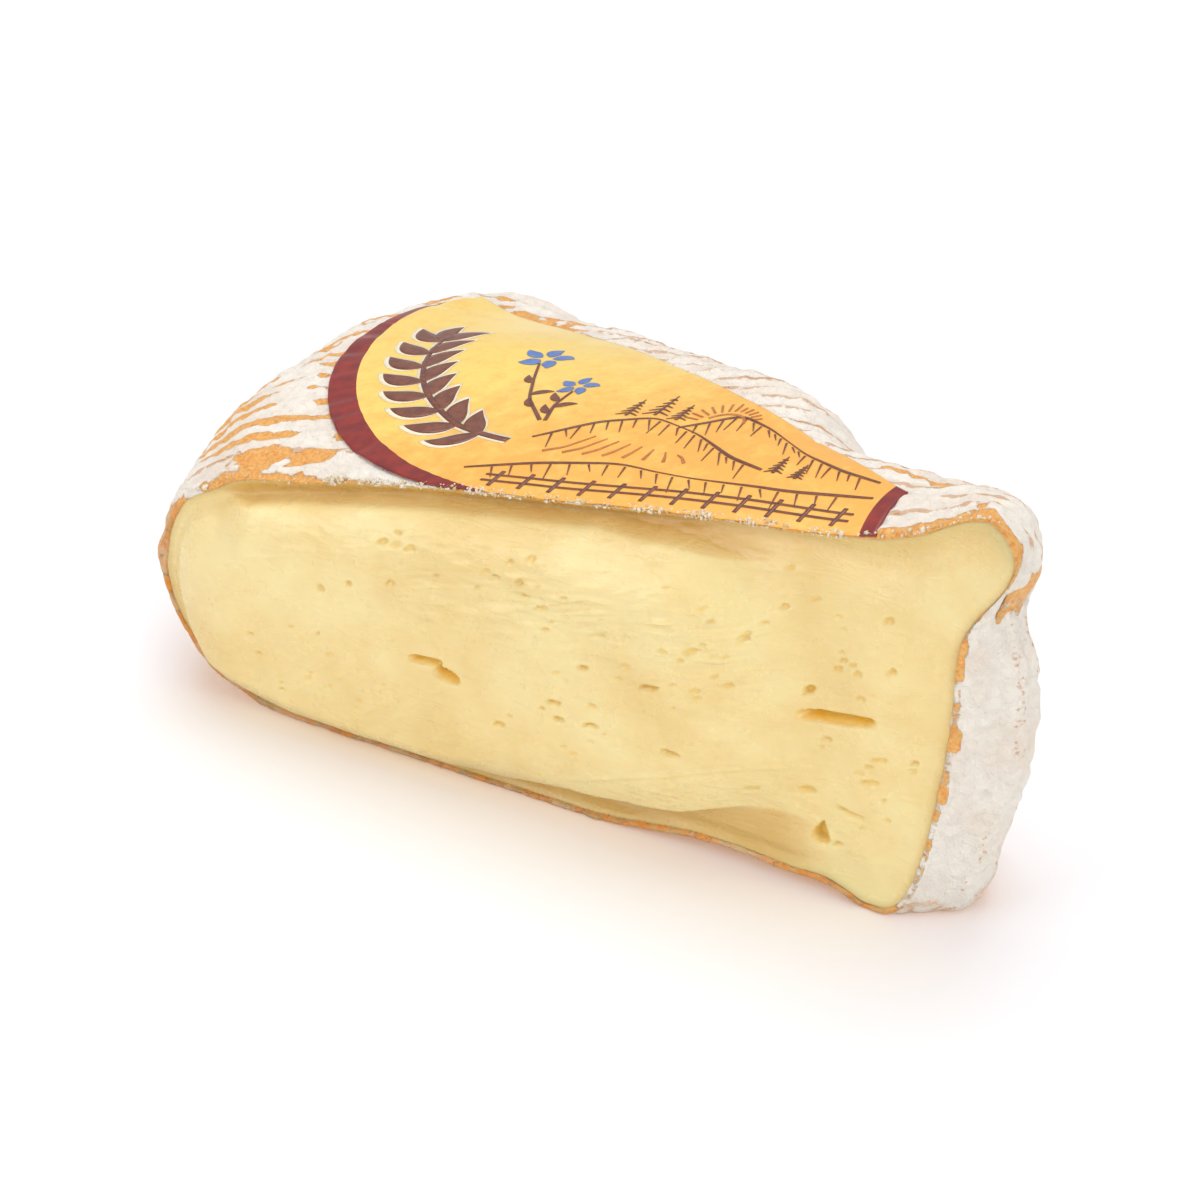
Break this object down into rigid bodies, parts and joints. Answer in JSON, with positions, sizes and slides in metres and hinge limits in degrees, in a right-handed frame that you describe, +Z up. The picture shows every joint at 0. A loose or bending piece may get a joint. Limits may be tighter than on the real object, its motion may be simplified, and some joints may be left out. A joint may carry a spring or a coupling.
{
  "type": "soft cheese wedge",
  "caption": "Wedge of soft bloomy-rind cheese with a swollen pale yellow cut face, ridged white and orange rind and a trimmed round paper label on top.",
  "frame": {"origin": "middle of the wedge's outline in plan, on the resting face", "axes": "+X along the cut face from the rounded rim to the blunt hub end, +Y from the cut face to the back, +Z up"},
  "size_m": [0.117, 0.0696, 0.0539],
  "materials": {
    "cheese_paste": "moist, soft, slightly translucent pale yellow paste",
    "cheese_rind": "powdery white mould over an orange-brown ridged rind",
    "label_paper": "satin printed paper"
  },
  "bodies": {
    "root": {"cheese_wedge": "cheese_paste", "paper_label": "label_paper"}
  },
  "joints": []
}
